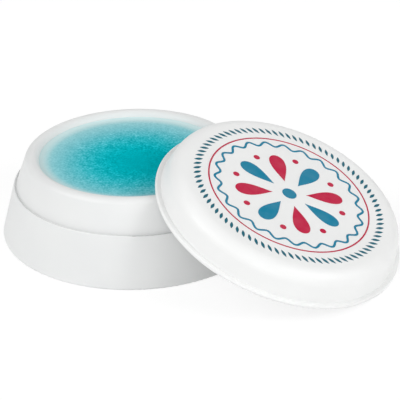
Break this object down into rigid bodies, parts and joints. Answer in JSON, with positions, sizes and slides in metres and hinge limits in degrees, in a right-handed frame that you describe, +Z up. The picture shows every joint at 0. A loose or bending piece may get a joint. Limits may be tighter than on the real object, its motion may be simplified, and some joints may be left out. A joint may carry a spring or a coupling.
{
  "type": "finger moistener",
  "caption": "Low round white plastic pot of turquoise finger-moistening gel with a flared skirt and rounded rim, its shallow slip-on lid taken off and leaning on the rim.",
  "frame": {"origin": "centre of the pot's round foot, on the table", "axes": "+Z up along the pot's axis; the lid leans on the pot's front right, towards +X and -Y"},
  "size_m": [0.0909, 0.078, 0.0275],
  "materials": {
    "white_plastic": "satin moulded white polypropylene",
    "turquoise_gel": "moist translucent glycerine gel with a fine grain",
    "teal_ink": "teal pad-printing ink on the lid",
    "crimson_ink": "crimson pad-printing ink on the lid"
  },
  "bodies": {
    "pot": {"pot": "white_plastic", "gel": "turquoise_gel"},
    "lid": {"lid": "white_plastic"}
  },
  "joints": [
    {"name": "lid_lift", "type": "slide", "parent": "pot", "child": "lid", "axis": [0, 0, 1], "range_m": [0, 0.04]}
  ]
}
